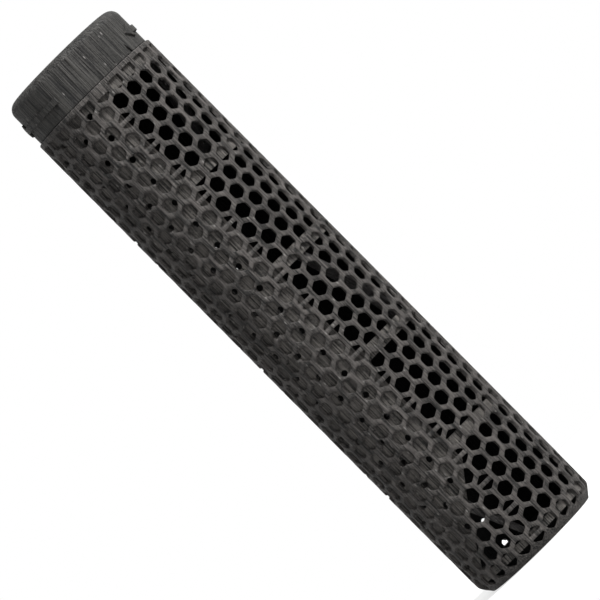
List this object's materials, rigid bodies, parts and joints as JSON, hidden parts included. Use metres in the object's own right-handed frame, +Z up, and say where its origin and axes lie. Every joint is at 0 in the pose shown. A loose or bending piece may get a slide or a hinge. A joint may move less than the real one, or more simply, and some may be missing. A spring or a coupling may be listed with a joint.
{
  "type": "rock tumbler barrel",
  "caption": "Slim perforated tumbling barrel with a honeycomb sleeve, drilled inner liner, ring frames, lifter vanes and a screw cap.",
  "frame": {"origin": "centre of the closed end's flat face, where the barrel stands", "axes": "+Z up the barrel's axis to the screw cap, +Y away from the front, +X to the right seen from the front"},
  "size_m": [0.06, 0.06, 0.2691],
  "materials": {
    "nylon": "printed, dark charcoal",
    "cap_nylon": "printed with lines along the axis, dark charcoal",
    "rubber": "matte black",
    "steel": "stainless"
  },
  "bodies": {
    "barrel": {"mesh_sleeve": "nylon", "drain_liner": "nylon", "ring_frame_1": "nylon", "ring_frame_2": "nylon", "ring_frame_3": "nylon", "ring_frame_4": "nylon", "ring_frame_5": "nylon", "ring_frame_6": "nylon", "lifter_vane_1": "nylon", "lifter_vane_2": "nylon", "lifter_vane_3": "nylon", "lifter_vane_4": "nylon", "lifter_vane_5": "nylon", "end_disc": "nylon", "end_pad": "rubber", "end_screws": "steel", "neck_ring": "nylon", "neck_screws": "steel"},
    "closure": {"pressure_plate": "nylon", "rim_gasket": "rubber"},
    "cap": {"screw_cap": "cap_nylon", "plate_screw": "steel", "plate_washer": "steel"}
  },
  "joints": [
    {"name": "lid_lift", "type": "slide", "parent": "barrel", "child": "closure", "axis": [0, 0, 1], "range_m": [0, 0.018]},
    {"name": "cap_turn", "type": "hinge", "parent": "closure", "child": "cap", "pos_m": [0, 0, 0.2545], "axis": [0, 0, 1], "range_deg": [0, 432.5]}
  ],
  "couplings": [
    {"joint": "cap_turn", "follows": "lid_lift", "rad_per_m": 418.88}
  ]
}
